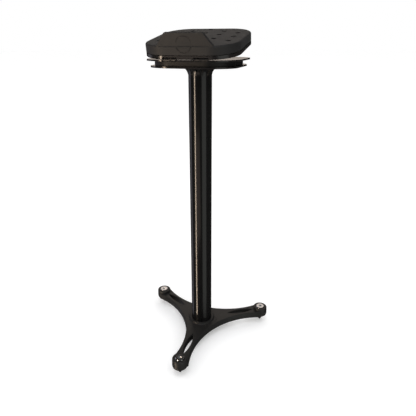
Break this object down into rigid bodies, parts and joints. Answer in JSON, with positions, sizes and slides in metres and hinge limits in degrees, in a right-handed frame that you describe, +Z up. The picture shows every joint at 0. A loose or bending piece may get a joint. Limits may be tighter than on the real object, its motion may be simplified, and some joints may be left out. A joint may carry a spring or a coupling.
{
  "type": "speaker stand",
  "caption": "Floor stand for a studio loudspeaker: cast three-legged base with levelling feet, round steel column and a swivelling, tilting platform with a rubber pad and front lip",
  "frame": {"origin": "on the floor under the column's axis", "axes": "+Z up along the column; the front leg and the low front edge of the platform point along -Y; +X to the right seen from the front"},
  "size_m": [0.3984, 0.351, 0.936],
  "materials": {
    "base_casting_cast_iron": "satin black powder coat on a rough casting",
    "foot_inserts_brass": "turned brass",
    "base_bolt_steel": "zinc plated",
    "base_washer_steel": "zinc plated",
    "column_plug_steel": "turned steel",
    "column_tube_paint": "gloss black powder coat",
    "column_head_paint": "gloss black powder coat on a casting",
    "lower_plate_paint": "gloss black powder coat",
    "lower_plate_screws_steel": "black oxide",
    "thrust_washer_plastic": "natural acetal",
    "level_screw_front_chrome": "chrome plated steel",
    "level_screw_right_chrome": "chrome plated steel",
    "level_screw_left_chrome": "chrome plated steel",
    "foot_cone_front_rubber": "hard moulded rubber",
    "foot_cone_right_rubber": "hard moulded rubber",
    "foot_cone_left_rubber": "hard moulded rubber",
    "swivel_housing_plastic": "moulded black plastic",
    "swivel_plate_paint": "gloss black powder coat",
    "swivel_plate_screws_steel": "black oxide",
    "pivot_bush_steel": "turned steel",
    "pivot_washer_steel": "zinc plated",
    "pivot_nut_steel": "zinc plated",
    "lower_knuckles_left_paint": "black powder coat",
    "lower_knuckles_right_paint": "black powder coat",
    "hinge_pin_left_steel": "bright steel",
    "hinge_pin_right_steel": "bright steel",
    "wheel_washer_plastic": "natural acetal",
    "jack_wheel_aluminium": "black anodised",
    "jack_stud_steel": "bright steel",
    "tilt_tray_paint": "gloss black powder coat",
    "upper_knuckle_left_paint": "black powder coat",
    "upper_knuckle_right_paint": "black powder coat",
    "jack_cup_steel": "zinc plated pressing",
    "jack_cup_rivets_steel": "plated",
    "isolation_pad_rubber": "moulded matte grey-black rubber",
    "pad_screws_steel": "black oxide"
  },
  "bodies": {
    "stand": {"base_casting": "base_casting_cast_iron", "foot_inserts": "foot_inserts_brass", "base_bolt": "base_bolt_steel", "base_washer": "base_washer_steel", "column_plug": "column_plug_steel", "column_tube": "column_tube_paint", "column_head": "column_head_paint", "lower_plate": "lower_plate_paint", "lower_plate_screws": "lower_plate_screws_steel", "thrust_washer": "thrust_washer_plastic"},
    "front_foot": {"level_screw_front": "level_screw_front_chrome", "foot_cone_front": "foot_cone_front_rubber"},
    "right_foot": {"level_screw_right": "level_screw_right_chrome", "foot_cone_right": "foot_cone_right_rubber"},
    "left_foot": {"level_screw_left": "level_screw_left_chrome", "foot_cone_left": "foot_cone_left_rubber"},
    "swivel": {"swivel_housing": "swivel_housing_plastic", "swivel_plate": "swivel_plate_paint", "swivel_plate_screws": "swivel_plate_screws_steel", "pivot_bush": "pivot_bush_steel", "pivot_washer": "pivot_washer_steel", "pivot_nut": "pivot_nut_steel", "lower_knuckles_left": "lower_knuckles_left_paint", "lower_knuckles_right": "lower_knuckles_right_paint", "hinge_pin_left": "hinge_pin_left_steel", "hinge_pin_right": "hinge_pin_right_steel", "wheel_washer": "wheel_washer_plastic"},
    "wheel": {"jack_wheel": "jack_wheel_aluminium"},
    "stud": {"jack_stud": "jack_stud_steel"},
    "platform": {"tilt_tray": "tilt_tray_paint", "upper_knuckle_left": "upper_knuckle_left_paint", "upper_knuckle_right": "upper_knuckle_right_paint", "jack_cup": "jack_cup_steel", "jack_cup_rivets": "jack_cup_rivets_steel", "isolation_pad": "isolation_pad_rubber", "pad_screws": "pad_screws_steel"}
  },
  "joints": [
    {"name": "front_foot_level", "type": "slide", "parent": "stand", "child": "front_foot", "axis": [0, 0, 1], "range_m": [-0.01, 0]},
    {"name": "right_foot_level", "type": "slide", "parent": "stand", "child": "right_foot", "axis": [0, 0, 1], "range_m": [-0.01, 0]},
    {"name": "left_foot_level", "type": "slide", "parent": "stand", "child": "left_foot", "axis": [0, 0, 1], "range_m": [-0.01, 0]},
    {"name": "platform_swivel", "type": "hinge", "parent": "stand", "child": "swivel", "pos_m": [0, 0, 0.86014], "axis": [0, 0, 1], "continuous": true},
    {"name": "platform_tilt", "type": "hinge", "parent": "swivel", "child": "platform", "pos_m": [0, -0.115, 0.86014], "axis": [1, 0, 0], "range_deg": [-10.5, 5.5]},
    {"name": "stud_rise", "type": "slide", "parent": "swivel", "child": "stud", "axis": [0, 0, 1], "range_m": [-0.02194, 0.01154]},
    {"name": "wheel_spin", "type": "hinge", "parent": "swivel", "child": "wheel", "pos_m": [0, 0, 0.86014], "axis": [0, 0, 1], "range_deg": [-688, 1312]}
  ],
  "couplings": [
    {"joint": "stud_rise", "follows": "platform_tilt", "m_per_rad": 0.11919},
    {"joint": "wheel_spin", "follows": "platform_tilt", "ratio": -124.81}
  ]
}
